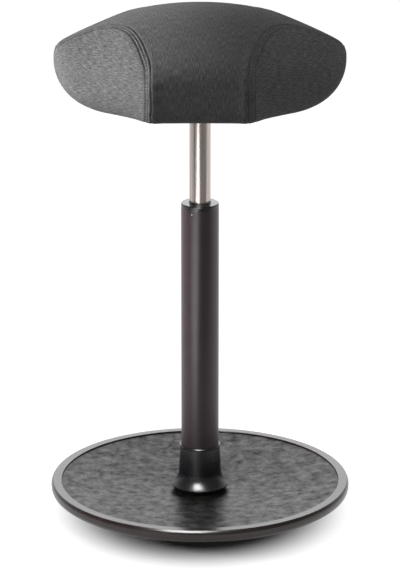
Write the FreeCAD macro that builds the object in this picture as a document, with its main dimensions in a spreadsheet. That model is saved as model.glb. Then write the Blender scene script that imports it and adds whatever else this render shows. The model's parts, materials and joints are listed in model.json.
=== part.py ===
import FreeCAD, Part
import os
import re
from math import asin, atan2, cos, pi, sin, sqrt, tan
import Sketcher

# A sit-stand wobble stool: a domed base that rocks on the floor, a gas spring column and a crowned
# upholstered seat. Millimetres, Z up, the origin on the floor under the middle of the base, and the
# front of the seat towards -Y. The column stands at the height that the photograph shows.

Vector = FreeCAD.Vector
doc = FreeCAD.newDocument("wobble_stool")
sheet = doc.addObject("Spreadsheet::Sheet", "sizes")

# Driving sizes. A rise, drop, draw or gap is measured from the piece that it belongs to.
driving = {
    # base
    "baseRadius": 200, "ringHeight": 38, "ringDraw": 2.5, "ringWidth": 11.5, "ringRound": 1,
    "rimCrown": 7.5, "rimUnder": 7.1, "rimRound": 7.6, "rimFootDraw": 3, "lipDraw": 7,
    "lipDrop": 2.8, "wallStep": 2, "dishDepth": 17, "dishRise": 12.5, "flatMargin": 2,
    "webThickness": 4, "hubGap": 1.5,
    "domeRise": 18.5, "floorFlat": 40, "soleThickness": 4, "soleDraw": 3,
    "panWall": 3, "panGap": 0.4, "panRimWall": 3, "panTopGap": 1,
    "bossInset": 16, "bossWall": 1, "panScrewCount": 8,
    "ballastInset": 12, "ballastBoreGap": 6, "ballastGap": 0.4,
    "ballastScrewCircle": 100, "ballastScrewCount": 6,
    "feltThickness": 3, "feltGap": 0.5, "feltBoreGap": 5,
    # fixed tube
    "tubeRadius": 25, "tubeWall": 1.5, "tubeLength": 396, "plugHeight": 20, "plugGap": 0.05,
    "footBoltCircle": 15, "footBoltCount": 4, "footBoltEnd": 2,
    "pinHoleRadius": 1.1, "pinHoleDrop": 4.8, "pinHoleSink": 2.2, "pinHoleTurn": 27,
    "pinRadius": 1, "pinLength": 4, "pinSunk": 0.9, "pinGap": 0.03,
    # guide bush in the top of the tube
    "flangeHeight": 6, "flangeRound": 1.4, "bushLength": 70, "bushGap": 0.05, "landLength": 16,
    "landRelief": 0.8, "mouthChamfer": 1, "columnFit": 0.06,
    # collar
    "flareReach": 13, "flareTuck": 4, "lipRise": 6, "flareEdge": 1.2, "flareRise": 26,
    "flareStep": 2.3, "flareCurve": 25, "neckWall": 1, "collarHeight": 63, "beadHeight": 3,
    "beadProud": 1.2, "collarGap": 0.3, "collarWall": 2.6,
    # bearing and rod
    "raceThickness": 1.5, "raceMargin": 1, "ballRadius": 1.95, "ballGap": 0.05, "ballCircle": 9.5,
    "ballCount": 10, "cageThickness": 1.6, "cageHalfWidth": 3.5, "cageGap": 0.1,
    "rodRadius": 5, "shoulderStep": 1, "rodFit": 0.06, "bumperHeight": 8, "bumperDraw": 2.5,
    "bumperRound": 4, "pistonReach": 190, "threadStep": 1.5, "rodThreadLength": 14,
    "pistonHeight": 8, "pistonRingHeight": 3, "pistonRingDepth": 1.6, "ringShoulder": 2.5,
    "pistonFit": 0.06, "nutHeight": 5, "nutRadius": 6, "washerMargin": 5, "washerThickness": 2,
    "washerGap": 0.1, "clipThickness": 1.2, "clipMargin": 2.5, "clipGroove": 0.8, "rodTail": 1.6,
    # column
    "columnRadius": 14, "columnWall": 1.5, "dropTravel": 105, "dropGap": 1, "columnLength": 414,
    "taperLength": 38, "taperDepth": 0.6, "guideLength": 15, "sealLength": 6, "valveLength": 36,
    "valveGap": 0.2, "valvePinRadius": 3.9, "valvePinRise": 8, "valvePinLength": 14,
    "valveRoom": 12, "wallGap": 0.03, "wallTaper": 1, "pinHead": 1.2,
    # bracket, lever and board
    "socketWall": 4, "headRise": 9.2, "channelDepth": 25.8, "bracketSheet": 2.5,
    "channelHalfWidth": 35.5, "bracketHalfLength": 65, "boltInset": 15, "boltStep": 22.5,
    "boltMargin": 20, "boltRadius": 3, "boltHead": 6, "boltHeadHeight": 3.4,
    "boltLength": 15, "nutFlangeMargin": 4, "nutWall": 2, "nutFlangeThickness": 1.4,
    "nutLength": 10, "boltGap": 0.2,
    "pivotReach": 16, "pivotRise": 15, "pivotRadius": 3, "pivotOverhang": 2, "pivotFit": 0.06,
    "leverThickness": 5, "leverGap": 0.3, "leverDepth": 6.7, "leverRiser": 8, "leverClear": 8,
    "leverNose": 6, "armRise": 3, "armDrop": 6.5, "armTuck": 6,
    "gripOut": 9, "gripLength": 38, "gripHalfWidth": 12, "gripRise": 1.5, "gripThickness": 10,
    "gripWall": 2.5, "gripRound": 3, "gripGap": 0.05,
    "boardThickness": 12, "boardInset": 32, "boardTipInset": 72, "boardTipRadius": 70,
    "recessGap": 4, "recessEndGap": 10,
    # seat cushion
    "cushionHeight": 118.2, "coverThickness": 1.2, "noseHalfWidth": 65,
    "seatHalfWidth": 190, "seatHalfDepth": 165, "crownAcross": 385, "crownAlong": 300,
    "tipRound": 22, "tipHang": 70, "tipThickness": 2.8, "tipPlanRadius": 118,
    "edgeInset": 15, "seamPinch": 5, "coverReturn": 12, "coverGap": 0.5,
    # the cushion's section, as shares of its height, depth or chord
    "footShare": 0.32, "footDraw": 0.6, "footDrawMore": 0.4, "footBulge": 0.19,
    "shoulderShare": 0.3, "shoulderMore": 0.2, "shoulderLean": 0.12, "leanFade": 4,
    "shoulderBulge": 0.115, "tipEase": 0.62,
    # screws and bolts not named above
    "footBoltHead": 5, "footBoltHeadHeight": 5.5,
    "panHeadRadius": 4, "panHeadHeight": 2, "panHeadRise": 8, "panShank": 2, "panScrewLength": 9,
    "ballastHeadRadius": 5.5, "ballastHeadHeight": 3.4, "ballastScrewBite": 3, "headSink": 0.3,
    # cuts run this far past what they cut
    "overcut": 1,
}

# Sizes that follow from the driving ones. Heights are above the floor.
worked = {
    "ringOuter": "baseRadius - ringDraw",
    "ringInner": "ringOuter - ringWidth",
    "rimMiddle": "ringHeight - rimCrown",
    "rimFoot": "baseRadius - rimFootDraw",
    "rimFootHeight": "rimMiddle - rimUnder",
    "lipOuter": "baseRadius - lipDraw",
    "lipHeight": "rimFootHeight - lipDrop",
    "cavityRadius": "ringInner + wallStep",
    "collarFlare": "tubeRadius + flareReach",
    "collarFoot": "collarFlare - flareTuck",
    "collarNeck": "tubeRadius + collarGap + neckWall",
    "flareNeck": "collarNeck + flareStep",
    "dishFlat": "collarFlare + flatMargin",
    "dishSlope": "dishRise / (ringInner - dishFlat)",
    "webTop": "ringHeight - dishDepth",
    "webFoot": "webTop - webThickness",
    "webFootEdge": "webFoot + (cavityRadius - dishFlat) * dishSlope",
    "webTopEdge": "webTop + dishRise",
    "rodEnd": "rodRadius - shoulderStep",
    "rodThread": "rodRadius - threadStep",
    "hubBore": "rodEnd + hubGap",
    "soleRadius": "cavityRadius - soleDraw",
    "domeCentre": "(soleRadius^2 - floorFlat^2 + domeRise^2) / (domeRise + domeRise)",
    "domeRadius": "sqrt(domeCentre^2 + floorFlat^2)",
    "soleTop": "domeCentre - domeRadius + soleThickness",
    "soleTopEdge": "domeCentre - sqrt((domeRadius - soleThickness)^2 - soleRadius^2)",
    "panCurve": "domeRadius - soleThickness",
    "panInnerCurve": "panCurve - panWall",
    "panRadius": "cavityRadius - panGap",
    "panInnerRadius": "panRadius - panRimWall",
    "panEdge": "domeCentre - sqrt(panCurve^2 - panRadius^2)",
    "panFloor": "domeCentre - panInnerCurve",
    "panFloorEdge": "domeCentre - sqrt(panInnerCurve^2 - panInnerRadius^2)",
    "panRimHeight": "webFootEdge - panTopGap",
    "bossCircle": "cavityRadius - bossInset",
    "bossRadius": "panHeadRadius + bossWall",
    "bossFoot": "domeCentre - sqrt(panCurve^2 - bossCircle^2) + panWall / 2",
    "bossTop": "webFoot + (bossCircle - bossRadius - dishFlat) * dishSlope - ballastGap",
    "panHeadFoot": "domeCentre - sqrt(panCurve^2 - (bossCircle + panHeadRadius)^2) + headSink",
    "panHeadTop": "panHeadFoot + panHeadHeight",
    "panScrewTop": "panHeadTop + panScrewLength - panHeadHeight",
    "ballastRadius": "bossCircle - ballastInset",
    "ballastBore": "footBoltCircle + footBoltHead + ballastBoreGap",
    "ballastCurve": "panInnerCurve - ballastGap",
    "ballastFoot": "domeCentre - sqrt(ballastCurve^2 - ballastBore^2)",
    "ballastEdge": "domeCentre - sqrt(ballastCurve^2 - ballastRadius^2)",
    "ballastTop": "webFoot - ballastGap",
    "ballastTopEdge": "ballastTop + (ballastRadius - dishFlat) * dishSlope",
    "ballastHeadEdge": "ballastScrewCircle + ballastHeadRadius",
    "ballastHead": "domeCentre - sqrt(ballastCurve^2 - ballastHeadEdge^2) + headSink",
    "ballastScrewTop": "ballastTop + (ballastScrewCircle - dishFlat) * dishSlope + ballastScrewBite",
    "feltRadius": "ringInner - feltGap",
    "feltBore": "tubeRadius + feltBoreGap",
    "feltEdge": "webTop + (feltRadius - dishFlat) * dishSlope",
    "feltTop": "webTop + feltThickness",
    "tubeTop": "webTop + tubeLength",
    "tubeBore": "tubeRadius - tubeWall",
    "plugTop": "webTop + plugHeight",
    "footBoltHole": "boltRadius + boltGap",
    "footBoltDepth": "plugHeight - footBoltEnd",
    "ballSpace": "ballRadius + ballRadius + ballGap + ballGap",
    "ballMiddle": "plugTop + raceThickness + ballSpace / 2",
    "cageInner": "ballCircle - cageHalfWidth",
    "cageOuter": "ballCircle + cageHalfWidth",
    "cageHalf": "cageThickness / 2",
    "raceRadius": "cageOuter + raceMargin",
    "raceFoot": "plugTop + raceThickness + ballSpace",
    "rodShoulder": "raceFoot + raceThickness",
    "clipTop": "webFoot - washerGap - washerThickness",
    "clipRadius": "rodEnd + clipMargin",
    "washerRadius": "rodEnd + washerMargin",
    "bumperRadius": "columnRadius - bumperDraw",
    "columnFoot": "rodShoulder + bumperHeight + dropTravel + dropGap",
    "columnTop": "columnFoot + columnLength",
    "columnBore": "columnRadius - columnWall",
    "rodTop": "columnFoot + pistonReach",
    "valveBore": "valvePinRadius + valveGap",
    "valveBoreDepth": "valvePinLength - valvePinRise + valveRoom",
    "socketRadius": "columnRadius + socketWall",
    "socketFoot": "columnTop - taperLength",
    "seatFoot": "columnTop - headRise",
    "seatTop": "seatFoot + cushionHeight",
    "channelFoot": "seatFoot - channelDepth",
    "channelWallInner": "channelHalfWidth - bracketSheet",
    "boltX": "bracketHalfLength - boltInset",
    "boltY": "channelHalfWidth + boltStep",
    "bracketHalfWidth": "boltY + boltMargin",
    "bracketLength": "bracketHalfLength + bracketHalfLength",
    "nutBarrel": "boltRadius + nutWall",
    "nutFlange": "nutBarrel + nutFlangeMargin",
    "leverRiserX": "socketRadius + leverRiser",
    "leverUnder": "columnTop + valvePinRise + leverGap",
    "pivotX": "leverRiserX + pivotReach",
    "pivotHeight": "channelFoot + pivotRise",
    "leverArmTop": "pivotHeight + armRise",
    "leverArmFoot": "pivotHeight - armDrop",
    "gripTop": "pivotHeight + gripRise",
    "gripFoot": "gripTop - gripThickness",
    "armEndTop": "gripTop - gripWall",
    "gripStart": "bracketHalfLength + gripOut",
    "gripEnd": "gripStart + gripLength",
    "gripWidth": "gripHalfWidth + gripHalfWidth",
    "leverReach": "gripEnd - armTuck",
    "recessStart": "socketRadius + recessGap",
    "recessEnd": "leverRiserX + leverRiser + recessEndGap",
    "recessHalfWidth": "recessStart + overcut",
    "recessTop": "leverUnder + leverDepth + leverClear",
    "edgeStart": "seatHalfDepth - edgeInset",
    "tipCentre": "seatTop - crownAcross + sqrt((crownAcross - tipRound)^2 - (seatHalfWidth - tipRound)^2)",
    "tipHeight": "tipCentre - tipThickness",
}

cells = {}
for name, value in driving.items():
    cells[name] = str(value)
for name, formula in worked.items():
    cells[name] = "=" + formula
for row, (name, content) in enumerate(cells.items(), start=1):
    sheet.set(f"A{row}", name)
    sheet.setAlias(f"B{row}", name)
for row, content in enumerate(cells.values(), start=1):
    sheet.set(f"B{row}", content)
doc.recompute()


def size(text):
    """The value of a sum or difference of named sizes, such as "webTop + feltThickness"."""
    total = 0.0
    for sign, name in re.findall(r"([+-]?)\s*([A-Za-z]\w*|\d+\.?\d*)", text):
        value = float(name) if name[0].isdigit() else float(sheet.get(name))
        total += -value if sign == "-" else value
    return total


def bound(text):
    """The same sum as an expression on the sheet."""
    return re.sub(r"[A-Za-z]\w*", lambda word: "sizes." + word.group(0), text)


def newBody(label, height="0", turn=None):
    """A body standing at a named height, and turned about Z by a named angle."""
    body = doc.addObject("PartDesign::Body", label)
    body.Label = label
    if turn:
        body.Placement = FreeCAD.Placement(Vector(), FreeCAD.Rotation(Vector(0, 0, -1), size(turn)))
        body.setExpression(".Placement.Rotation.Angle", bound(turn))
    if height != "0":
        body.setExpression(".Placement.Base.z", bound(height))
    return body


def origin(body, role):
    return [item for item in body.Origin.OriginFeatures if item.Role == role][0]


def outline(body, corners, arcs=None, role="XZ_Plane"):
    """A closed sketch through corners, each two named sums. arcs gives the radius of the edge that
    leaves a corner, and the side its centre lies on: 1 left of the way of travel, -1 right."""
    arcs = arcs or {}
    sketch = body.newObject("Sketcher::SketchObject", body.Name + "_outline")
    sketch.AttachmentSupport = [(origin(body, role), "")]
    sketch.MapMode = "FlatFace"
    places = [Vector(size(across), size(up), 0) for across, up in corners]
    count = len(places)
    ends = []
    for index, start in enumerate(places):
        end = places[(index + 1) % count]
        if index not in arcs:
            sketch.addGeometry(Part.LineSegment(start, end))
            ends.append((1, 2))
            continue
        radius, side = arcs[index]
        chord = end - start
        middle = (start + end) * 0.5
        reach = sqrt(size(radius) ** 2 - (chord.Length / 2) ** 2)
        normal = Vector(-chord.y, chord.x, 0).normalize() * side
        centre = middle + normal * reach
        crest = centre - normal * size(radius)
        sketch.addGeometry(Part.Arc(start, crest, end))
        ends.append((1, 2) if side > 0 else (2, 1))
    for index in range(count):
        following = (index + 1) % count
        sketch.addConstraint(Sketcher.Constraint(
            "Coincident", index, ends[index][1], following, ends[following][0]))
    for index, (across, up) in enumerate(corners):
        point = ends[index][0]
        for kind, text, axis in (("DistanceX", across, -2), ("DistanceY", up, -1)):
            if text == "0":
                sketch.addConstraint(Sketcher.Constraint("PointOnObject", index, point, axis))
                continue
            place = places[index].x if kind == "DistanceX" else places[index].y
            number = sketch.addConstraint(Sketcher.Constraint(kind, -1, 1, index, point, place))
            sketch.setExpression(f"Constraints[{number}]", bound(text))
    for index, (radius, side) in arcs.items():
        number = sketch.addConstraint(Sketcher.Constraint("Radius", index, size(radius)))
        sketch.setExpression(f"Constraints[{number}]", bound(radius))
    doc.recompute()
    return sketch


def spin(body, corners, arcs=None, role="XZ_Plane", cut=False, own=False):
    """A full turn of an outline about Z, or about its own closing edge."""
    sketch = outline(body, corners, arcs, role)
    kind = "PartDesign::Groove" if cut else "PartDesign::Revolution"
    feature = body.newObject(kind, body.Name + ("_groove" if cut else "_turn"))
    feature.Profile = sketch
    feature.ReferenceAxis = (sketch, [f"Edge{len(corners)}"] if own else ["V_Axis"])
    feature.Angle = 360
    body.Tip = feature
    doc.recompute()
    return feature


def ring(body, feature, count):
    """Copies of a feature spread evenly about Z."""
    pattern = body.newObject("PartDesign::PolarPattern", body.Name + "_ring")
    pattern.Originals = [feature]
    pattern.Axis = (origin(body, "Z_Axis"), [""])
    pattern.Angle = 360
    pattern.setExpression("Occurrences", bound(count))
    body.Tip = pattern
    doc.recompute()
    return pattern


def pad(body, corners, arcs, role, length):
    """An outline given a named thickness, half to each side."""
    sketch = outline(body, corners, arcs, role)
    feature = body.newObject("PartDesign::Pad", body.Name + "_pad")
    feature.Profile = sketch
    feature.SideType = "Symmetric"
    feature.setExpression("Length", bound(length))
    body.Tip = feature
    doc.recompute()
    return feature


def stepped(circle, steps):
    """Corners of a half section about a line parallel to Z at a named radius: a list of a step's
    radius with its lower and upper height."""
    corners = [(circle, steps[0][1])]
    for radius, foot, top in steps:
        corners.append((f"{circle} + {radius}", foot))
        corners.append((f"{circle} + {radius}", top))
    corners.append((circle, steps[-1][2]))
    return corners


# The dished base plate with its rim ring, open below for the pan.
def basePlate():
    body = newBody("base_dish")
    spin(body, [
        ("hubBore", "webFoot"), ("dishFlat", "webFoot"), ("cavityRadius", "webFootEdge"),
        ("cavityRadius", "lipHeight"), ("lipOuter", "lipHeight"), ("rimFoot", "rimFootHeight"),
        ("baseRadius", "rimMiddle"), ("ringOuter", "ringHeight"),
        ("ringInner + ringRound", "ringHeight"), ("ringInner", "ringHeight - ringRound"),
        ("ringInner", "webTopEdge"), ("dishFlat", "webTop"), ("hubBore", "webTop")],
        {5: ("rimRound", 1), 6: ("rimRound", 1), 8: ("ringRound", 1)})
    for circle, radius, top, count in (
            ("footBoltCircle", "footBoltHole", "webTop + overcut", "footBoltCount"),
            ("ballastScrewCircle", "boltRadius", "ballastScrewTop", "ballastScrewCount"),
            ("bossCircle", "panShank", "panScrewTop", "panScrewCount")):
        hole = spin(body, stepped(circle, [(radius, "webFoot - overcut", top)]), cut=True, own=True)
        ring(body, hole, count)


# The rocking pan under the base, with a boss for each screw.
def rockerPan():
    body = newBody("rocker_pan")
    spin(body, [
        ("0", "soleTop"), ("panRadius", "panEdge"), ("panRadius", "panRimHeight"),
        ("panInnerRadius", "panRimHeight"), ("panInnerRadius", "panFloorEdge"), ("0", "panFloor")],
        {0: ("panCurve", 1), 4: ("panInnerCurve", -1)})
    boss = spin(body, stepped("bossCircle", [("bossRadius", "bossFoot", "bossTop")]), own=True)
    ring(body, boss, "panScrewCount")
    bore = spin(body, stepped("bossCircle", [
        ("panHeadRadius + boltGap", "bossFoot - panHeadRise", "panHeadTop"),
        ("panShank + boltGap", "panHeadTop", "bossTop + overcut")]), cut=True, own=True)
    ring(body, bore, "panScrewCount")


# The rubber sole: a shallow dome with a small flat where it stands.
def sole():
    body = newBody("rubber_sole")
    spin(body, [
        ("0", "0"), ("floorFlat", "0"), ("soleRadius", "domeRise"), ("soleRadius", "soleTopEdge"),
        ("0", "soleTop")],
        {1: ("domeRadius", 1), 3: ("panCurve", -1)})


# The cast ballast plate between the pan and the dished plate.
def ballast():
    body = newBody("ballast_plate")
    spin(body, [
        ("ballastBore", "ballastFoot"), ("ballastRadius", "ballastEdge"),
        ("ballastRadius", "ballastTopEdge"), ("dishFlat", "ballastTop"),
        ("ballastBore", "ballastTop")],
        {0: ("ballastCurve", 1)})
    bore = spin(body, stepped("ballastScrewCircle", [
        ("ballastHeadRadius + boltGap", "ballastHead - overcut", "ballastHead + ballastHeadHeight"),
        ("boltRadius + boltGap", "ballastHead + ballastHeadHeight", "ballastScrewTop + overcut")]),
        cut=True, own=True)
    ring(body, bore, "ballastScrewCount")


def screwRing(label, circle, count, steps):
    """Alike screws on a circle, each a head and a shank."""
    body = newBody(label)
    screw = spin(body, stepped(circle, steps), own=True)
    ring(body, screw, count)


def felt():
    body = newBody("felt_inlay")
    spin(body, [
        ("feltBore", "webTop"), ("dishFlat", "webTop"), ("feltRadius", "feltEdge"),
        ("feltRadius", "feltEdge + feltThickness"), ("dishFlat", "feltTop"),
        ("feltBore", "feltTop")])


# The fixed tube with its foot plug, and the small countersunk hole over the bush's pin.
def tube():
    body = newBody("outer_tube", "webTop", "pinHoleTurn")
    spin(body, [
        ("tubeBore", "0"), ("tubeRadius", "0"), ("tubeRadius", "tubeTop - webTop"),
        ("tubeBore", "tubeTop - webTop")])
    middle = "tubeTop - webTop - pinHoleDrop"
    spin(body, [
        ("0 - tubeRadius - overcut", middle),
        ("0 - tubeRadius - overcut", middle + " + pinHoleSink + overcut"),
        ("0 - tubeRadius + pinHoleSink - pinHoleRadius", middle + " + pinHoleRadius"),
        ("0 - tubeBore + overcut", middle + " + pinHoleRadius"), ("0 - tubeBore + overcut", middle)],
        role="YZ_Plane", cut=True, own=True)


def footPlug():
    body = newBody("tube_foot_plug", "webTop")
    spin(body, [
        ("rodEnd + rodFit", "0"), ("tubeBore - plugGap", "0"), ("tubeBore - plugGap", "plugHeight"),
        ("rodEnd + rodFit", "plugHeight")])
    hole = spin(body, stepped("footBoltCircle", [
        ("boltRadius", "0 - overcut", "footBoltDepth + overcut")]), cut=True, own=True)
    ring(body, hole, "footBoltCount")


# The guide bush: a flange on the tube's rim and two lands that the column slides on.
def guideBush():
    body = newBody("guide_bush", "tubeTop", "pinHoleTurn")
    land = "columnRadius + columnFit"
    relief = land + " + landRelief"
    skirt = "tubeBore - bushGap"
    spin(body, [
        (land, "0 - bushLength"), (skirt, "0 - bushLength"), (skirt, "0"), ("tubeRadius", "0"),
        ("tubeRadius", "flangeHeight - flangeRound"), ("tubeRadius - flangeRound", "flangeHeight"),
        (land + " + mouthChamfer", "flangeHeight"), (land, "flangeHeight - mouthChamfer"),
        (land, "0 - landLength"), (relief, "0 - landLength - landRelief"),
        (relief, "landLength + landRelief - bushLength"), (land, "landLength - bushLength")],
        {4: ("flangeRound", 1)})
    outer = "0 - tubeBore - tubeWall + pinSunk"
    spin(body, [
        (outer, "0 - pinHoleDrop"), (outer, "pinRadius + pinGap - pinHoleDrop"),
        (outer + " + pinLength", "pinRadius + pinGap - pinHoleDrop"),
        (outer + " + pinLength", "0 - pinHoleDrop")],
        role="YZ_Plane", cut=True, own=True)


def bushPin():
    body = newBody("bush_pin", "tubeTop", "pinHoleTurn")
    outer = "0 - tubeRadius + pinSunk"
    spin(body, [
        (outer, "0 - pinHoleDrop"), (outer, "pinRadius - pinHoleDrop"),
        (outer + " + pinLength", "pinRadius - pinHoleDrop"),
        (outer + " + pinLength", "0 - pinHoleDrop")],
        role="YZ_Plane", own=True)


# The flared collar that hides the foot of the tube.
def collar():
    body = newBody("tube_collar", "feltTop")
    spin(body, [
        ("collarFoot - collarWall", "0"), ("collarFoot", "0"), ("collarFlare", "lipRise"),
        ("collarFlare", "lipRise + flareEdge"), ("flareNeck", "flareRise"),
        ("collarNeck", "collarHeight - beadHeight"),
        ("collarNeck + beadProud", "collarHeight - beadHeight + beadProud"),
        ("collarNeck + beadProud", "collarHeight - beadProud"), ("collarNeck", "collarHeight"),
        ("tubeRadius + collarGap", "collarHeight"),
        ("tubeRadius + collarGap", "flareRise"),
        ("collarFlare - collarWall - collarWall", "lipRise")],
        {3: ("flareCurve", -1), 10: ("flareCurve", 1)})


# Thrust bearing under the rod's shoulder.
def bearing():
    lower = newBody("lower_race", "plugTop")
    spin(lower, [
        ("rodEnd + cageGap + rodFit", "0"), ("raceRadius", "0"), ("raceRadius", "raceThickness"),
        ("rodEnd + cageGap + rodFit", "raceThickness")])
    upper = newBody("upper_race", "raceFoot")
    spin(upper, [
        ("rodEnd + rodFit", "0"), ("raceRadius", "0"), ("raceRadius", "raceThickness"),
        ("rodEnd + rodFit", "raceThickness")])
    cage = newBody("ball_cage", "ballMiddle")
    spin(cage, [
        ("cageInner", "0 - cageHalf"), ("cageOuter", "0 - cageHalf"), ("cageOuter", "cageHalf"),
        ("cageInner", "cageHalf")])
    hole = spin(cage, stepped("ballCircle", [
        ("ballRadius + cageGap", "0 - cageHalf - overcut", "cageHalf + overcut")]),
        cut=True, own=True)
    ring(cage, hole, "ballCount")
    balls = newBody("bearing_balls", "ballMiddle")
    ball = spin(balls, [
        ("ballCircle", "0 - ballRadius"), ("ballCircle + ballRadius", "0"),
        ("ballCircle", "ballRadius")],
        {0: ("ballRadius", 1), 1: ("ballRadius", 1)}, own=True)
    ring(balls, ball, "ballCount")


# The piston rod with what is fixed on it.
def rod():
    body = newBody("piston_rod")
    foot = "clipTop - clipThickness - rodTail"
    neck = "rodEnd - clipGroove"
    spin(body, [
        ("0", foot), ("rodEnd", foot), ("rodEnd", "clipTop - clipThickness"),
        (neck, "clipTop - clipThickness"), (neck, "clipTop"), ("rodEnd", "clipTop"),
        ("rodEnd", "rodShoulder"), ("rodRadius", "rodShoulder"), ("rodRadius", "rodTop"),
        ("rodThread", "rodTop"), ("rodThread", "rodTop + rodThreadLength"),
        ("0", "rodTop + rodThreadLength")])
    washer = newBody("thrust_washer", "clipTop")
    spin(washer, [
        ("rodEnd + rodFit", "0"), ("washerRadius", "0"), ("washerRadius", "washerThickness"),
        ("rodEnd + rodFit", "washerThickness")])
    clip = newBody("rod_clip", "clipTop - clipThickness")
    spin(clip, [
        (neck, "0"), ("clipRadius", "0"), ("clipRadius", "clipThickness"),
        (neck, "clipThickness")])
    bumper = newBody("rubber_bumper", "rodShoulder")
    spin(bumper, [
        ("rodRadius + rodFit", "0"), ("bumperRadius", "0"),
        ("bumperRadius", "bumperHeight - bumperRound"),
        ("bumperRadius - bumperRound", "bumperHeight"), ("rodRadius + rodFit", "bumperHeight")],
        {2: ("bumperRound", 1)})
    piston = newBody("piston", "rodTop")
    wall = "columnBore - pistonFit"
    ringFoot = "pistonHeight - pistonRingHeight - ringShoulder"
    ringTop = "pistonHeight - ringShoulder"
    spin(piston, [
        ("rodThread", "0"), (wall, "0"), (wall, ringFoot), (wall + " - pistonRingDepth", ringFoot),
        (wall + " - pistonRingDepth", ringTop), (wall, ringTop), (wall, "pistonHeight"),
        ("rodThread", "pistonHeight")])
    seal = newBody("piston_ring", "rodTop")
    spin(seal, [
        (wall + " - pistonRingDepth", ringFoot), (wall, ringFoot), (wall, ringTop),
        (wall + " - pistonRingDepth", ringTop)])
    nut = newBody("piston_nut", "rodTop + pistonHeight")
    hexagon(nut, "nutRadius", "nutHeight")
    spin(nut, [
        ("0", "0 - overcut"), ("rodThread", "0 - overcut"), ("rodThread", "nutHeight + overcut"),
        ("0", "nutHeight + overcut")], cut=True)


def hexagon(body, radius, height):
    """A hexagonal pad on the body's XY plane, its corners on a named radius."""
    sketch = body.newObject("Sketcher::SketchObject", body.Name + "_outline")
    sketch.AttachmentSupport = [(origin(body, "XY_Plane"), "")]
    sketch.MapMode = "FlatFace"
    reach = size(radius)
    places = [Vector(reach * cos(pi / 3 * step), reach * sin(pi / 3 * step), 0) for step in range(6)]
    for step in range(6):
        sketch.addGeometry(Part.LineSegment(places[step], places[(step + 1) % 6]))
    circle = sketch.addGeometry(Part.Circle(Vector(), Vector(0, 0, 1), reach), True)
    for step in range(6):
        sketch.addConstraint(Sketcher.Constraint("Coincident", step, 2, (step + 1) % 6, 1))
        sketch.addConstraint(Sketcher.Constraint("PointOnObject", step, 1, circle))
    for step in range(1, 6):
        sketch.addConstraint(Sketcher.Constraint("Equal", 0, step))
    sketch.addConstraint(Sketcher.Constraint("Coincident", circle, 3, -1, 1))
    sketch.addConstraint(Sketcher.Constraint("PointOnObject", 0, 1, -1))
    number = sketch.addConstraint(Sketcher.Constraint("Radius", circle, reach))
    sketch.setExpression(f"Constraints[{number}]", bound(radius))
    feature = body.newObject("PartDesign::Pad", body.Name + "_pad")
    feature.Profile = sketch
    feature.setExpression("Length", bound(height))
    body.Tip = feature
    doc.recompute()


# The bright sliding column, closed below by the rod guide and above by the valve.
def column():
    body = newBody("gas_column")
    spin(body, [
        ("columnBore", "columnFoot"), ("columnRadius - wallTaper", "columnFoot"),
        ("columnRadius", "columnFoot + wallTaper"), ("columnRadius", "columnTop - taperLength"),
        ("columnRadius - taperDepth", "columnTop"), ("columnBore", "columnTop")])
    wall = "columnBore - wallGap"
    guide = newBody("rod_guide", "columnFoot")
    spin(guide, [
        ("rodRadius + rodFit", "0"), (wall, "0"), (wall, "guideLength"),
        ("rodRadius + rodFit", "guideLength")])
    seal = newBody("rod_seal", "columnFoot + guideLength")
    spin(seal, [
        ("rodRadius + rodFit", "0"), (wall, "0"), (wall, "sealLength"),
        ("rodRadius + sealLength", "sealLength"), ("rodRadius + rodFit", "sealLength - rodFit")],
        {3: ("sealLength", 1)})
    valve = newBody("valve_body", "columnTop - valveLength")
    spin(valve, [
        ("0", "0"), (wall, "0"), (wall, "valveLength"), ("valveBore", "valveLength"),
        ("valveBore", "valveLength - valveBoreDepth"), ("0", "valveLength - valveBoreDepth")])
    pin = newBody("valve_pin", "columnTop + valvePinRise - valvePinLength")
    spin(pin, [
        ("0", "0"), ("valvePinRadius", "0"), ("valvePinRadius", "valvePinLength - pinHead"),
        ("valvePinRadius - pinHead", "valvePinLength"), ("0", "valvePinLength")],
        {2: ("pinHead", 1)})


# The folded bracket under the board, its socket, and the release lever on its pivot.
def bracket():
    body = newBody("seat_bracket")
    top = "seatFoot"
    under = "seatFoot - bracketSheet"
    pad(body, [
        ("0 - bracketHalfWidth", under), ("0 - channelHalfWidth", under),
        ("0 - channelHalfWidth", "channelFoot"), ("channelHalfWidth", "channelFoot"),
        ("channelHalfWidth", under), ("bracketHalfWidth", under), ("bracketHalfWidth", top),
        ("channelWallInner", top), ("channelWallInner", "channelFoot + bracketSheet"),
        ("0 - channelWallInner", "channelFoot + bracketSheet"), ("0 - channelWallInner", top),
        ("0 - bracketHalfWidth", top)], {}, "YZ_Plane", "bracketLength")
    spin(body, [
        ("0", "channelFoot - overcut"), ("socketRadius", "channelFoot - overcut"),
        ("socketRadius", "channelFoot + bracketSheet + overcut"),
        ("0", "channelFoot + bracketSheet + overcut")], cut=True)
    crossBore(body, "pivotRadius")
    boltHoles(body, "boltRadius + boltGap")
    socket = newBody("column_socket", "socketFoot")
    grip = "columnTop - taperLength - socketFoot"
    spin(socket, [
        ("columnRadius + wallGap", "0"), ("socketRadius", "0"),
        ("socketRadius", "columnTop - socketFoot"),
        ("columnRadius - taperDepth + wallGap", "columnTop - socketFoot"),
        ("columnRadius + wallGap", grip + " + wallGap")])
    pin = newBody("lever_pin", "pivotHeight")
    pin.Placement.Base = Vector(size("pivotX"), 0, size("pivotHeight"))
    pin.setExpression(".Placement.Base.x", bound("pivotX"))
    spin(pin, [
        ("0 - channelHalfWidth - pivotOverhang", "0"),
        ("0 - channelHalfWidth - pivotOverhang", "pivotRadius"),
        ("channelHalfWidth + pivotOverhang", "pivotRadius"),
        ("channelHalfWidth + pivotOverhang", "0")], role="YZ_Plane", own=True)


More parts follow.
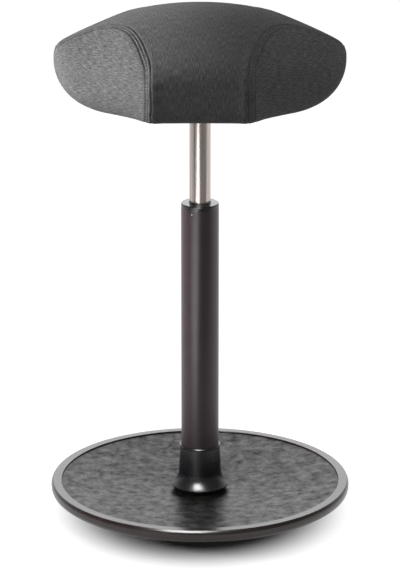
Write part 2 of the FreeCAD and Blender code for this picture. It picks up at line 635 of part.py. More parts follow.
def crossBore(body, radius):
    """A bore along Y at the lever's pivot."""
    sketch = body.newObject("Sketcher::SketchObject", body.Name + "_pivot")
    sketch.AttachmentSupport = [(origin(body, "XZ_Plane"), "")]
    sketch.MapMode = "FlatFace"
    place = Vector(size("pivotX"), size("pivotHeight"), 0)
    sketch.addGeometry(Part.Circle(place, Vector(0, 0, 1), size(radius)))
    for kind, text, value in (("DistanceX", "pivotX", place.x), ("DistanceY", "pivotHeight", place.y)):
        number = sketch.addConstraint(Sketcher.Constraint(kind, -1, 1, 0, 3, value))
        sketch.setExpression(f"Constraints[{number}]", bound(text))
    number = sketch.addConstraint(Sketcher.Constraint("Radius", 0, size(radius)))
    sketch.setExpression(f"Constraints[{number}]", bound(radius))
    cutThrough(body, sketch)


def boltHoles(body, radius):
    """The four holes of the seat bolts."""
    sketch = body.newObject("Sketcher::SketchObject", body.Name + "_bolt_holes")
    sketch.AttachmentSupport = [(origin(body, "XY_Plane"), "")]
    sketch.MapMode = "FlatFace"
    for index, (signX, signY) in enumerate(boltSides):
        place = Vector(signX * size("boltX"), signY * size("boltY"), 0)
        sketch.addGeometry(Part.Circle(place, Vector(0, 0, 1), size(radius)))
        for kind, text, value, sign in (("DistanceX", "boltX", place.x, signX),
                                        ("DistanceY", "boltY", place.y, signY)):
            number = sketch.addConstraint(Sketcher.Constraint(kind, -1, 1, index, 3, value))
            prefix = "" if sign > 0 else "-"
            sketch.setExpression(f"Constraints[{number}]", prefix + bound(text))
        number = sketch.addConstraint(Sketcher.Constraint("Radius", index, size(radius)))
        sketch.setExpression(f"Constraints[{number}]", bound(radius))
    cutThrough(body, sketch)


def cutThrough(body, sketch):
    """Cut a sketch through the whole body, both ways."""
    before = body.Shape.Volume
    feature = body.newObject("PartDesign::Pocket", sketch.Name + "_cut")
    feature.Profile = sketch
    feature.SideType = "Symmetric"
    feature.Type = "ThroughAll"
    body.Tip = feature
    doc.recompute()
    if body.Shape.Volume > before - 1:
        raise RuntimeError(body.Label + ": the cut removed nothing")


boltSides = ((-1, -1), (1, -1), (1, 1), (-1, 1))


# The cranked lever, a plate that reaches from the valve pin to the grip.
def lever():
    body = newBody("release_lever")
    top = "leverUnder + leverDepth"
    pad(body, [
        ("0 - leverNose", "leverUnder"), ("leverRiserX", "leverUnder"),
        ("leverRiserX", "leverArmFoot"), ("leverReach", "leverArmFoot"),
        ("leverReach", "armEndTop"), ("gripStart", "armEndTop"),
        ("leverRiserX + leverRiser + leverRiser", "leverArmTop"),
        ("leverRiserX + leverRiser", "leverArmTop + leverRiser"),
        ("leverRiserX + leverRiser", top), ("0 - leverNose", top)], {}, "XZ_Plane", "leverThickness")
    crossBore(body, "pivotRadius + pivotFit")
    grip = newBody("lever_grip", "gripFoot")
    thick = "gripTop - gripFoot"
    pad(grip, [
        ("gripStart", "gripRound"), ("gripStart + gripRound", "0"), ("gripEnd - gripRound", "0"),
        ("gripEnd", "gripRound"), ("gripEnd", thick + " - gripRound"),
        ("gripEnd - gripRound", thick), ("gripStart + gripRound", thick),
        ("gripStart", thick + " - gripRound")],
        {0: ("gripRound", 1), 2: ("gripRound", 1), 4: ("gripRound", 1), 6: ("gripRound", 1)},
        "XZ_Plane", "gripWidth")
    slot = grip.newObject("PartDesign::Pocket", "grip_slot")
    sketch = outline(grip, [
        ("gripStart - overcut", "leverArmFoot - gripFoot - gripGap"),
        ("leverReach + gripGap", "leverArmFoot - gripFoot - gripGap"),
        ("leverReach + gripGap", "armEndTop - gripFoot + gripGap"),
        ("gripStart - overcut", "armEndTop - gripFoot + gripGap")], {}, "XZ_Plane")
    slot.Profile = sketch
    slot.SideType = "Symmetric"
    slot.Type = "Length"
    slot.setExpression("Length", bound("leverThickness + gripGap + gripGap"))
    grip.Tip = slot
    doc.recompute()


def solidPart(label, shape):
    """A sub-part whose shape is worked out here from the sheet."""
    item = doc.addObject("Part::Feature", label)
    item.Label = label
    item.Shape = shape
    item.Placement = FreeCAD.Placement()
    return item


def planDepth(across, halfWidth, halfDepth, planRadius, nose):
    """Half depth of the seat's plan at a distance across: a straight flank from the front corner,
    touching the round of the tip."""
    middle = halfWidth - planRadius
    reach = sqrt((middle - nose) ** 2 + halfDepth ** 2)
    slope = atan2(halfDepth, middle - nose) - asin(planRadius / reach)
    touch = middle + planRadius * sin(slope)
    if across <= nose:
        return halfDepth
    if across <= touch:
        return halfDepth - (across - nose) * tan(slope)
    return sqrt(max(planRadius ** 2 - (across - middle) ** 2, 0))


def seatSection(across, inset):
    """The closed section of the cushion at a distance across, drawn in by inset: crown, shoulders,
    flanks, foot rounds and bottom, as arcs and lines."""
    nose = size("noseHalfWidth")
    halfWidth = size("seatHalfWidth") - inset
    halfDepth = size("seatHalfDepth") - inset
    top = size("seatTop") - inset
    foot = size("seatFoot") + inset
    crown = size("crownAcross") - inset
    along = size("crownAlong") - inset
    tipRound = size("tipRound")
    tipHang = size("tipHang")
    middle = size("tipHeight")
    hangStart = halfWidth - tipHang
    tipCentre = top - crown + sqrt((crown - tipRound) ** 2 - (halfWidth - tipRound) ** 2)
    touch = (halfWidth - tipRound) * crown / (crown - tipRound)
    if across <= touch:
        ridge = top - crown + sqrt(crown ** 2 - across ** 2)
    else:
        ridge = tipCentre + sqrt(max(tipRound ** 2 - (across - halfWidth + tipRound) ** 2, 0))
    keel = foot
    if across > hangStart:
        swing = min((across - hangStart) / tipHang, 1)
        keel = middle - (middle - foot) * sqrt(1 - swing ** 2)
    depth = planDepth(across, halfWidth, halfDepth, size("tipPlanRadius") - inset, nose)
    fade = max(min((halfWidth - across) / (halfWidth - nose), 1), 0)
    pinch = fade ** size("seamPinch")
    seam = (size("edgeStart") - inset) * pinch + depth * size("shoulderLean") * (1 - pinch)
    seamHeight = ridge - (along - sqrt(along ** 2 - seam ** 2))
    footRound = (seamHeight - keel) * size("footShare")
    wide = keel + footRound
    shoulder = wide + (seamHeight - wide) * (size("shoulderShare") + size("shoulderMore") * fade)
    edge = depth * (1 - size("shoulderLean") * (1 - fade ** size("leanFade")))
    base = depth - footRound * (size("footDraw") + size("footDrawMore") * fade)
    return (seam, seamHeight), (edge, shoulder), (depth, wide), (base, keel), ridge


def bulged(start, end, bulge):
    """An arc from start to end whose middle stands out by bulge."""
    chord = end - start
    normal = Vector(0, -chord.z, chord.y).normalize()
    return Part.Arc(start, (start + end) * 0.5 + normal * bulge, end).toShape()


def sectionWire(across, inset):
    seam, high, low, base, ridge = seatSection(abs(across), inset)
    nose = size("noseHalfWidth")
    front = [Vector(across, -y, z) for y, z in (base, low, high, seam)]
    back = [Vector(across, y, z) for y, z in (seam, high, low, base)]
    ease = 1 if abs(across) <= nose else size("tipEase")
    shoulderBulge = (front[3] - front[2]).Length * size("shoulderBulge") * ease
    footBulge = (front[1] - front[0]).Length * size("footBulge")
    edges = [
        bulged(front[0], front[1], footBulge),
        Part.LineSegment(front[1], front[2]).toShape(),
        bulged(front[2], front[3], shoulderBulge),
        Part.Arc(front[3], Vector(across, 0, ridge), back[0]).toShape(),
        bulged(back[0], back[1], shoulderBulge),
        Part.LineSegment(back[1], back[2]).toShape(),
        bulged(back[2], back[3], footBulge),
        Part.LineSegment(back[3], front[0]).toShape(),
    ]
    return Part.Wire(edges)


# Where the half cushion's sections stand, as shares of the way from the seam to the tip.
tipStations = (0, 0.04, 0.1, 0.2, 0.33, 0.47, 0.61, 0.74, 0.85, 0.93, 0.975, 0.996)


def cushionHalf(side, inset):
    """One side of the cushion, from the seam on its front to the tip."""
    nose = size("noseHalfWidth")
    reach = size("seatHalfWidth") - inset - nose
    stations = [side * (nose + reach * share) for share in tipStations]
    return Part.makeLoft([sectionWire(across, inset) for across in stations], True, False)


def cushionMiddle(inset):
    nose = size("noseHalfWidth")
    stations = [nose * share for share in (-1, -0.5, 0, 0.5, 1)]
    return Part.makeLoft([sectionWire(across, inset) for across in stations], True, False)


def planPrism(extra, foot, top):
    """A prism on the board's plan, drawn in by extra: straight flanks and rounded tips."""
    nose = size("noseHalfWidth")
    halfWidth = size("seatHalfWidth") - size("boardTipInset") - extra
    halfDepth = size("seatHalfDepth") - size("boardInset") - extra
    planRadius = size("boardTipRadius") - extra
    middle = halfWidth - planRadius
    reach = sqrt((middle - nose) ** 2 + halfDepth ** 2)
    slope = atan2(halfDepth, middle - nose) - asin(planRadius / reach)
    touch = (middle + planRadius * sin(slope), planRadius * cos(slope))
    edges = []
    corners = [(nose, -halfDepth), (touch[0], -touch[1]), (touch[0], touch[1]), (nose, halfDepth),
               (-nose, halfDepth), (-touch[0], touch[1]), (-touch[0], -touch[1]), (-nose, -halfDepth)]
    places = [Vector(x, y, foot) for x, y in corners]
    tips = {1: Vector(halfWidth, 0, foot), 5: Vector(-halfWidth, 0, foot)}
    for index, start in enumerate(places):
        end = places[(index + 1) % len(places)]
        if index in tips:
            edges.append(Part.Arc(start, tips[index], end).toShape())
        else:
            edges.append(Part.LineSegment(start, end).toShape())
    return Part.Face(Part.Wire(edges)).extrude(Vector(0, 0, top - foot))


def crownCutter(side):
    """The space over the crown strip, between the two seams that run out to a tip."""
    nose = size("noseHalfWidth")
    reach = size("seatHalfWidth") - nose
    front = []
    for share in tipStations[:-1]:
        across = nose + reach * share
        front.append(Vector(side * across, -seatSection(across, 0)[0][0], size("tipHeight")))
    front.append(Vector(side * (size("seatHalfWidth") + size("overcut")), front[-1].y, size("tipHeight")))
    back = [Vector(place.x, -place.y, place.z) for place in reversed(front)]
    edges = []
    for run in (front, back):
        curve = Part.BSplineCurve()
        curve.interpolate(run[:-1] if run is front else run[1:])
        edges.append(curve.toShape())
    edges.insert(1, Part.LineSegment(front[-2], front[-1]).toShape())
    edges.insert(2, Part.LineSegment(front[-1], back[0]).toShape())
    edges.insert(3, Part.LineSegment(back[0], back[1]).toShape())
    edges.append(Part.LineSegment(back[-1], front[0]).toShape())
    face = Part.Face(Part.Wire(edges))
    return face.extrude(Vector(0, 0, size("seatTop") - size("tipHeight") + size("overcut")))


def recessBox(foot, top):
    """The space that the lever and the valve pin move in."""
    return Part.makeBox(
        size("recessStart") + size("recessEnd"), 2 * size("recessHalfWidth"), top - foot,
        Vector(-size("recessStart"), -size("recessHalfWidth"), foot))


def boltSolids(radius, foot, top):
    """Four upright cylinders at the seat bolts."""
    return [Part.makeCylinder(radius, top - foot, Vector(signX * size("boltX"),
            signY * size("boltY"), foot)) for signX, signY in boltSides]


# The upholstered seat: board, foam, three sewn cover panels and the dust cover below.
def cushion():
    cover = size("coverThickness")
    foot = size("seatFoot")
    boardFoot = foot + cover
    boardTop = boardFoot + size("boardThickness")
    hole = size("boltRadius") + size("boltGap")
    over = size("overcut")

    board = planPrism(0, boardFoot, boardTop)
    board = board.cut(recessBox(boardFoot - over, boardTop + over))
    board = board.cut(Part.makeCompound(boltSolids(size("nutBarrel") + size("boltGap"),
                                                   boardFoot - over, boardTop + over)))
    solidPart("seat_board", board)

    flange = size("nutFlangeThickness")
    nuts = [barrel.fuse(plate).cut(bore) for barrel, plate, bore in zip(
        boltSolids(size("nutBarrel"), boardTop - size("nutLength"), boardTop),
        boltSolids(size("nutFlange"), boardTop, boardTop + flange),
        boltSolids(size("boltRadius"), boardFoot, boardTop + 2 * flange))]
    solidPart("board_nuts", Part.makeCompound([nut.removeSplitter() for nut in nuts]))

    under = foot - size("bracketSheet")
    bolts = [head.fuse(shank).removeSplitter() for head, shank in zip(
        boltSolids(size("boltHead"), under - size("boltHeadHeight"), under),
        boltSolids(size("boltRadius"), under, under + size("boltLength")))]
    solidPart("seat_bolts", Part.makeCompound(bolts))

    foam = cushionMiddle(cover).fuse([cushionHalf(1, cover), cushionHalf(-1, cover)])
    foam = foam.cut(planPrism(0, boardFoot - over, boardTop))
    foam = foam.cut(recessBox(boardTop - over, size("recessTop")))
    foam = foam.cut(Part.makeCompound(boltSolids(size("nutFlange") + size("boltGap"),
                                                 boardTop - over, boardTop + flange)))
    solidPart("seat_foam", foam.removeSplitter())

    opening = planPrism(size("coverReturn"), foot - over, boardFoot + over)
    opening = opening.fuse(planPrism(0, boardFoot, boardTop))
    middle = cushionMiddle(0).cut(cushionMiddle(cover)).cut(opening)
    pieces = [middle]
    for side, label in ((-1, "cover_left_panel"), (1, "cover_right_panel")):
        shell = cushionHalf(side, 0).cut(cushionHalf(side, cover)).cut(opening)
        cutter = crownCutter(side)
        pieces.append(shell.common(cutter))
        solidPart(label, shell.cut(cutter))
    solidPart("cover_centre_panel", pieces[0].fuse(pieces[1:]).removeSplitter())

    dust = planPrism(size("coverReturn") + size("coverGap"), foot, boardFoot)
    dust = dust.cut(recessBox(foot - over, boardFoot + over))
    dust = dust.cut(Part.makeCompound(boltSolids(hole, foot - over, boardFoot + over)))
    solidPart("dust_cover", dust)


def build():
    basePlate()
    rockerPan()
    sole()
    ballast()
    screwRing("pan_screws", "bossCircle", "panScrewCount", [
        ("panHeadRadius", "panHeadFoot", "panHeadTop"), ("panShank", "panHeadTop", "panScrewTop")])
    screwRing("ballast_screws", "ballastScrewCircle", "ballastScrewCount", [
        ("ballastHeadRadius", "ballastHead", "ballastHead + ballastHeadHeight"),
        ("boltRadius", "ballastHead + ballastHeadHeight", "ballastScrewTop")])
    screwRing("foot_bolts", "footBoltCircle", "footBoltCount", [
        ("footBoltHead", "webFoot - footBoltHeadHeight", "webFoot"),
        ("boltRadius", "webFoot", "webTop + footBoltDepth")])
    felt()
    tube()
    footPlug()
    guideBush()
    bushPin()
    collar()
    bearing()
    rod()
    column()
    bracket()
    lever()
    cushion()


build()
doc.recompute()

parts = [item for item in doc.Objects
         if item.TypeId == "PartDesign::Body" or item.TypeId == "Part::Feature"]
faults = [item.Label for item in doc.Objects if {"Invalid", "Error"} & set(item.State)]
faults += [item.Label for item in parts if item.Shape.isNull() or not item.Shape.isValid()]
if faults:
    raise RuntimeError("not built: " + ", ".join(faults))

os.makedirs("parts", exist_ok=True)
for item in parts:
    item.Shape.exportStep(os.path.join("parts", item.Label + ".step"))
    print(f"{item.Label}: {len(item.Shape.Solids)} solids, {item.Shape.Volume / 1000:.2f} cm3")
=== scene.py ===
import json
from math import asin, atan2, pi, radians, sin, sqrt, tan

import bpy
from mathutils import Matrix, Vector
import numpy as np


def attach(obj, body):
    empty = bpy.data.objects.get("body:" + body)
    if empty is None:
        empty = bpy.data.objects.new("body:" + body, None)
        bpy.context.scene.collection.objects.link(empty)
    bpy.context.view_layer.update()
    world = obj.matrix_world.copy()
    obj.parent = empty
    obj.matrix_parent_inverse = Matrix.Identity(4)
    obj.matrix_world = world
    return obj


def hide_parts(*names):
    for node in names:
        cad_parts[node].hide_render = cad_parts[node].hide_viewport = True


# A wobble stool with a domed rocking base, a felt-lined dish, a bright gas spring column and a
# crowned seat sewn from three panels. Metres, Z up, the front of the seat towards -Y. Sizes that
# are given in millimetres are turned to metres by mm.

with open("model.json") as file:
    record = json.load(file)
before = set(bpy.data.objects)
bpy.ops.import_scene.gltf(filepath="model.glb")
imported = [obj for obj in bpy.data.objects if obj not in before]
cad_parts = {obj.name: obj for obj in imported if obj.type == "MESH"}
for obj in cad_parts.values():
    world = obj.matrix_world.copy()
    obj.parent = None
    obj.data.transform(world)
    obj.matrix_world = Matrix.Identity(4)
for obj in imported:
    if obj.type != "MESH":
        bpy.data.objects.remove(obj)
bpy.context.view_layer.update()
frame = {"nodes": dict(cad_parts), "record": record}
nodes = frame["nodes"]
mm = 0.001


# sRGB hex to the linear values that Blender works in
def linear(hexColour):
    channels = [int(hexColour[i:i + 2], 16) / 255 for i in (1, 3, 5)]
    return [c / 12.92 if c <= 0.04045 else ((c + 0.055) / 1.055) ** 2.4 for c in channels] + [1.0]


# One node and its output: settings are sockets by name or number, or else properties, stops are
# the colours along a ramp, and links feed sockets
def addNode(tree, kind, settings=None, links=None, stops=None, output=0):
    node = tree.nodes.new("ShaderNode" + kind)
    for name, value in (settings or {}).items():
        if isinstance(name, int) or name in node.inputs:
            node.inputs[name].default_value = value
        else:
            setattr(node, name, value)
    for place, colour in stops or []:
        node.color_ramp.elements.new(place).color = linear(colour)
    if stops:
        node.color_ramp.elements.remove(node.color_ramp.elements[0])
        node.color_ramp.elements.remove(node.color_ramp.elements[-1])
    for name, source in (links or {}).items():
        tree.links.new(source, node.inputs[name])
    return node.outputs[output]


# An empty material and its shader, whose uniform values are set on its own sockets
def newFinish(name, sockets):
    finish = bpy.data.materials.new(name)
    finish.use_nodes = True
    shader = finish.node_tree.nodes["Principled BSDF"]
    for socket, value in sockets.items():
        shader.inputs[socket].default_value = value
    return finish, finish.node_tree, shader


fabric = {
    "dark": "#3c3c3d", "middle": "#626263", "light": "#8e8e8f",
    "yarn": 0.85,  # mm across a yarn, a little wider than real so that it shows
    "streak": 9.0,  # mm that one shade of the melange runs along a yarn
    # how far the painted seam shade darkens the cloth towards near black
    "bump": 0.3, "paintedSeamShadeStrength": 0.85,
}


# Woven wool and polyester upholstery: matte, with yarn spun from light and dark fibre, so that
# short streaks run along the threads, and with painted shade along its seams and topstitching
def melangeFabric():
    finish, tree, shader = newFinish("melange_wool_weave", {
        "Roughness": 0.95, "Specular IOR Level": 0.2, "Sheen Weight": 0.12,
        "Sheen Roughness": 0.5, "Sheen Tint": linear("#a0a0a2")})
    place = addNode(tree, "TexCoord", output="UV")
    fine, slow = 1000 / fabric["yarn"], 1000 / fabric["streak"]
    alongWarp = addNode(tree, "Mapping", {"Scale": (fine, slow, 1)}, {"Vector": place})
    alongWeft = addNode(tree, "Mapping", {"Scale": (slow * 2, fine, 1)}, {"Vector": place})
    everyWay = addNode(tree, "Mapping", {"Scale": (fine, fine * 0.7, 1)}, {"Vector": place})
    rough = {"Scale": 1.0, "Detail": 3.0, "Roughness": 0.65}
    warp = addNode(tree, "TexNoise", rough, {"Vector": alongWarp})
    weft = addNode(tree, "TexNoise", rough, {"Vector": alongWeft})
    speck = addNode(tree, "TexNoise", {"Scale": 1.0, "Detail": 1.0}, {"Vector": everyWay})
    cloud = addNode(tree, "TexNoise", {"Scale": 60.0, "Detail": 2.0}, {"Vector": place})
    shade = addNode(tree, "Mix", {0: 0.15}, {2: warp, 3: weft})
    shade = addNode(tree, "Mix", {0: 0.28}, {2: shade, 3: speck})
    shade = addNode(tree, "Mix", {0: 0.06}, {2: shade, 3: cloud})
    colour = addNode(tree, "ValToRGB", links={0: shade}, stops=[
        (0.37, fabric["dark"]), (0.5, fabric["middle"]), (0.64, fabric["light"])])
    # painted shade: the colour darkens towards near black under the rows of topstitching and in the
    # seam's groove
    paintedShade = addNode(tree, "Attribute", {"attribute_name": "paintedSeamShade"}, output="Fac")
    paintedShade = addNode(tree, "Math", {"operation": "MULTIPLY", 1: fabric["paintedSeamShadeStrength"]}, {0: paintedShade})
    colour = addNode(tree, "Mix", {"data_type": "RGBA", 7: linear("#1b1b1c")},
                     {0: paintedShade, 6: colour}, output=2)
    tree.links.new(colour, shader.inputs["Base Color"])
    # the weave: a wave across the warp times one across the weft, two yarns to a wave
    wave = {"Scale": 2 * pi / 20 / (2 * fabric["yarn"] * mm)}
    over = addNode(tree, "TexWave", wave | {"bands_direction": "X"}, {"Vector": place}, output=1)
    under = addNode(tree, "TexWave", wave | {"bands_direction": "Y"}, {"Vector": place}, output=1)
    weave = addNode(tree, "Math", {"operation": "MULTIPLY"}, {0: over, 1: under})
    height = addNode(tree, "Mix", {0: 0.5}, {2: weave, 3: warp})
    normal = addNode(tree, "Bump", {"Distance": fabric["bump"] * mm}, {"Height": height})
    tree.links.new(normal, shader.inputs["Normal"])
    return finish


felt = {
    "dark": "#0a0a09", "middle": "#161715", "light": "#3e403c",
    "cloud": 13.0,  # mm across a cloud of lighter fleece
    "fibre": 1.8,  # mm across a tuft, drawn about twice as coarse as real so that it shows
}


# Pressed wool felt: dark, and mottled where light and dark fleece were carded together. Its nap is
# ironed flat, so at a low angle it mirrors softly, and the light fleece more than the dark.
def woolFelt():
    finish, tree, shader = newFinish("pressed_wool_felt", {
        "Roughness": 0.36, "Sheen Weight": 0.08, "Sheen Roughness": 0.3,
        "Sheen Tint": linear("#8f8f8b")})
    place = addNode(tree, "TexCoord", output="Object")
    cloud = addNode(tree, "TexNoise", {"Scale": 1000 / felt["cloud"], "Detail": 5.0,
                    "Roughness": 0.65, "Distortion": 0.2}, {"Vector": place})
    fibre = addNode(tree, "TexNoise", {"Scale": 1000 / felt["fibre"], "Detail": 4.0,
                    "Roughness": 0.7}, {"Vector": place})
    shade = addNode(tree, "Mix", {0: 0.25}, {2: cloud, 3: fibre})
    colour = addNode(tree, "ValToRGB", links={0: shade}, stops=[
        (0.36, felt["dark"]), (0.5, felt["middle"]), (0.66, felt["light"])])
    tree.links.new(colour, shader.inputs["Base Color"])
    nap = addNode(tree, "MapRange", {1: 0.38, 2: 0.64, 3: 0.03, 4: 0.3}, {0: shade})
    tree.links.new(nap, shader.inputs["Specular IOR Level"])
    normal = addNode(tree, "Bump", {"Distance": 0.7 * mm}, {"Height": shade})
    tree.links.new(normal, shader.inputs["Normal"])
    return finish


# Powder-coated steel: satin, near black with a brown cast, and the fine orange peel of a cured
# powder that breaks up its reflections
def powderCoat(name, dark, light, roughness):
    finish, tree, shader = newFinish(name, {"IOR": 1.5})
    place = addNode(tree, "TexCoord", output="Object")
    # orange peel 1.1 mm across, and a drift in the shade over 33 mm
    peel = addNode(tree, "TexNoise", {"Scale": 900.0, "Detail": 2.0}, {"Vector": place})
    tone = addNode(tree, "TexNoise", {"Scale": 30.0, "Detail": 3.0}, {"Vector": place})
    colour = addNode(tree, "ValToRGB", links={0: tone}, stops=[(0.35, dark), (0.65, light)])
    tree.links.new(colour, shader.inputs["Base Color"])
    gloss = addNode(tree, "MapRange", {3: roughness - 0.04, 4: roughness + 0.04}, {0: peel})
    tree.links.new(gloss, shader.inputs["Roughness"])
    normal = addNode(tree, "Bump", {"Distance": 0.02 * mm}, {"Height": peel})
    tree.links.new(normal, shader.inputs["Normal"])
    return finish


# Centreless ground steel tube: bright, with streaks along it from the polishing belt, drawn
# about 0.8 mm wide so that they show
def brushedSteel():
    finish, tree, shader = newFinish("brushed_steel", {"Metallic": 1.0, "Anisotropic": 0.4})
    place = addNode(tree, "TexCoord", output="Object")
    long = addNode(tree, "Mapping", {"Scale": (1200, 1200, 6)}, {"Vector": place})
    streak = addNode(tree, "TexNoise", {"Scale": 1.0, "Detail": 3.0, "Roughness": 0.6},
                     {"Vector": long})
    colour = addNode(tree, "ValToRGB", links={0: streak}, stops=[
        (0.3, "#8a807b"), (0.5, "#aea49e"), (0.7, "#ccc4be")])
    tree.links.new(colour, shader.inputs["Base Color"])
    gloss = addNode(tree, "MapRange", {3: 0.16, 4: 0.3}, {0: streak})
    tree.links.new(gloss, shader.inputs["Roughness"])
    normal = addNode(tree, "Bump", {"Distance": 0.02 * mm}, {"Height": streak})
    tree.links.new(normal, shader.inputs["Normal"])
    return finish


# Polished ABS: black and glossy, with a faint smear from handling that softens its highlights
def polishedAbs():
    finish, tree, shader = newFinish("polished_abs", {"IOR": 1.54})
    place = addNode(tree, "TexCoord", output="Object")
    smear = addNode(tree, "TexNoise", {"Scale": 45.0, "Detail": 4.0, "Roughness": 0.6},
                    {"Vector": place})
    colour = addNode(tree, "ValToRGB", links={0: smear}, stops=[(0.3, "#101013"), (0.7, "#1a1b1f")])
    tree.links.new(colour, shader.inputs["Base Color"])
    gloss = addNode(tree, "MapRange", {3: 0.2, 4: 0.32}, {0: smear})
    tree.links.new(gloss, shader.inputs["Roughness"])
    return finish


# Two shades in a fine grain, for pieces that are moulded, cast, plated, turned or sawn: grain is
# the size of a grain along each axis in mm, and relief how deep it stands
def grainedFinish(name, dark, light, grain, relief, sockets):
    finish, tree, shader = newFinish(name, sockets)
    place = addNode(tree, "TexCoord", output="Object")
    cells = addNode(tree, "Mapping", {"Scale": [1000 / size for size in grain]}, {"Vector": place})
    pattern = addNode(tree, "TexNoise", {"Scale": 1.0, "Detail": 4.0, "Roughness": 0.6},
                      {"Vector": cells})
    colour = addNode(tree, "ValToRGB", links={0: pattern}, stops=[(0.35, dark), (0.65, light)])
    tree.links.new(colour, shader.inputs["Base Color"])
    normal = addNode(tree, "Bump", {"Distance": relief * mm}, {"Height": pattern})
    tree.links.new(normal, shader.inputs["Normal"])
    return finish


metal = {"Metallic": 1.0, "Roughness": 0.3}
grained = {
    # filled polypropylene: dull, with a spark-eroded mould's grain
    "pan_plastic": ("moulded_polypropylene", "#121213", "#1c1c1e", (1, 1, 1), 0.06,
                    {"Roughness": 0.6}),
    # natural rubber with soot: deep matt black
    "sole_rubber": ("moulded_rubber", "#0d0d0e", "#18181a", (1.5, 1.5, 1.5), 0.08,
                    {"Roughness": 0.88, "Specular IOR Level": 0.3}),
    "seal_rubber": ("moulded_nitrile", "#0c0c0d", "#151516", (1, 1, 1), 0.04,
                    {"Roughness": 0.75}),
    # sand-cast iron: coarse and dark, with a dull metal glint
    "ballast_iron": ("sand_cast_iron", "#232322", "#3c3a38", (3, 3, 3), 0.5,
                     {"Metallic": 0.8, "Roughness": 0.7}),
    # bright zinc plate: pale and bluish with a faint spangle
    "zinc_steel": ("zinc_plate", "#8f9598", "#bcc0be", (2.5, 2.5, 2.5), 0.02, metal),
    # ground and hardened steel: a clean mirror with hardly a grain
    "hard_steel": ("ground_steel", "#a9a9ab", "#c6c6c8", (4, 4, 0.5), 0.01,
                   {"Metallic": 1.0, "Roughness": 0.14}),
    # turned aluminium: fine rings round the axis from the tool
    "plug_aluminium": ("turned_aluminium", "#a0a1a2", "#c3c4c5", (20, 20, 0.5), 0.02, metal),
    # pressed brass sheet: warm and satin
    "cage_brass": ("pressed_brass", "#a98e4e", "#c9ad69", (3, 3, 3), 0.02, metal),
    # filled nylon: satin black with a fine mould grain
    "guide_plastic": ("moulded_nylon", "#19191a", "#242425", (1, 1, 1), 0.03,
                      {"Roughness": 0.5}),
    "grip_plastic": ("grained_nylon", "#161617", "#212122", (1.2, 1.2, 1.2), 0.08,
                     {"Roughness": 0.55}),
    # fluoropolymer ring: waxy white
    "ring_plastic": ("turned_fluoropolymer", "#d0d0c9", "#e3e3dc", (4, 4, 0.6), 0.02,
                     {"Roughness": 0.45}),
    # birch plywood: pale, with the plies as fine lines on its edge
    "board_wood": ("birch_plywood", "#a8834f", "#d0b27e", (60, 4, 0.9), 0.1,
                   {"Roughness": 0.65}),
    # polyurethane foam: open cells
    "foam": ("moulded_foam", "#c8bc99", "#e2d9bc", (1.4, 1.4, 1.4), 0.5, {"Roughness": 0.95}),
    # spun-bond polypropylene cloth: flat black with short random fibres
    "dust_fabric": ("spunbond_cloth", "#101011", "#27272a", (2.2, 2.2, 2.2), 0.25,
                    {"Roughness": 0.95, "Specular IOR Level": 0.2}),
    # bonded polyester sewing thread: a little darker than the cloth, with a faint lustre
    "thread": ("polyester_thread", "#202122", "#3a3b3d", (0.7, 0.7, 0.7), 0.05,
               {"Roughness": 0.7}),
}
finishes = {
    "cover_fabric": melangeFabric(),
    "felt": woolFelt(),
    "base_paint": powderCoat("satin_powder_coat", "#2e2223", "#3a2b2c", 0.24),
    "tube_paint": powderCoat("silk_powder_coat", "#2f2128", "#382830", 0.36),
    "bracket_paint": powderCoat("matt_powder_coat", "#141415", "#1b1b1d", 0.5),
    "column_steel": brushedSteel(),
    "black_gloss": polishedAbs(),
} | {slot: grainedFinish(*settings) for slot, settings in grained.items()}
for part in frame["record"]["subparts"]:
    mesh = nodes[part["node"]].data
    mesh.materials.clear()
    mesh.materials.append(finishes[part["material_slot"]])
print("stool: finishes on", len(nodes), "nodes")


# A smooth mesh from whole arrays of points and four-cornered faces
def meshPiece(name, points, quads, finish):
    mesh = bpy.data.meshes.new(name)
    mesh.vertices.add(len(points))
    mesh.vertices.foreach_set("co", points.astype(np.float32).ravel())
    mesh.loops.add(quads.size)
    mesh.loops.foreach_set("vertex_index", quads.astype(np.int32).ravel())
    mesh.polygons.add(len(quads))
    mesh.polygons.foreach_set("loop_start", np.arange(0, quads.size, 4, dtype=np.int32))
    mesh.polygons.foreach_set("use_smooth", np.ones(len(quads), bool))
    mesh.update(calc_edges=True)
    mesh.materials.append(finish)
    piece = bpy.data.objects.new(name, mesh)
    bpy.context.scene.collection.objects.link(piece)
    return piece


# The seat's form, with the same sizes as its solids
seat = {
    "halfWidth": 190.0, "halfDepth": 165.0, "nose": 65.0, "top": 685.0, "foot": 566.8,
    "crownAcross": 385.0, "crownAlong": 300.0, "tipRound": 22.0, "tipHang": 70.0,
    "tipThickness": 2.8, "tipPlanRadius": 118.0, "edgeStart": 150.0, "seamPinch": 5,
    "footShare": 0.32, "footDraw": 0.6, "footDrawMore": 0.4, "footBulge": 0.19,
    "shoulderShare": 0.3, "shoulderMore": 0.2, "shoulderLean": 0.12, "leanFade": 4,
    "shoulderBulge": 0.115, "tipEase": 0.62,
}


# Half depth of the plan at a distance across: flat at the nose, then a straight flank that
# touches the round of the tip
def planDepth(across):
    nose, radius = seat["nose"], seat["tipPlanRadius"]
    middle = seat["halfWidth"] - radius
    reach = sqrt((middle - nose) ** 2 + seat["halfDepth"] ** 2)
    slope = atan2(seat["halfDepth"], middle - nose) - asin(radius / reach)
    touch = middle + radius * sin(slope)
    flank = seat["halfDepth"] - (across - nose) * tan(slope)
    tip = np.sqrt(np.maximum(radius ** 2 - (across - middle) ** 2, 0))
    return np.where(across <= nose, seat["halfDepth"], np.where(across <= touch, flank, tip))


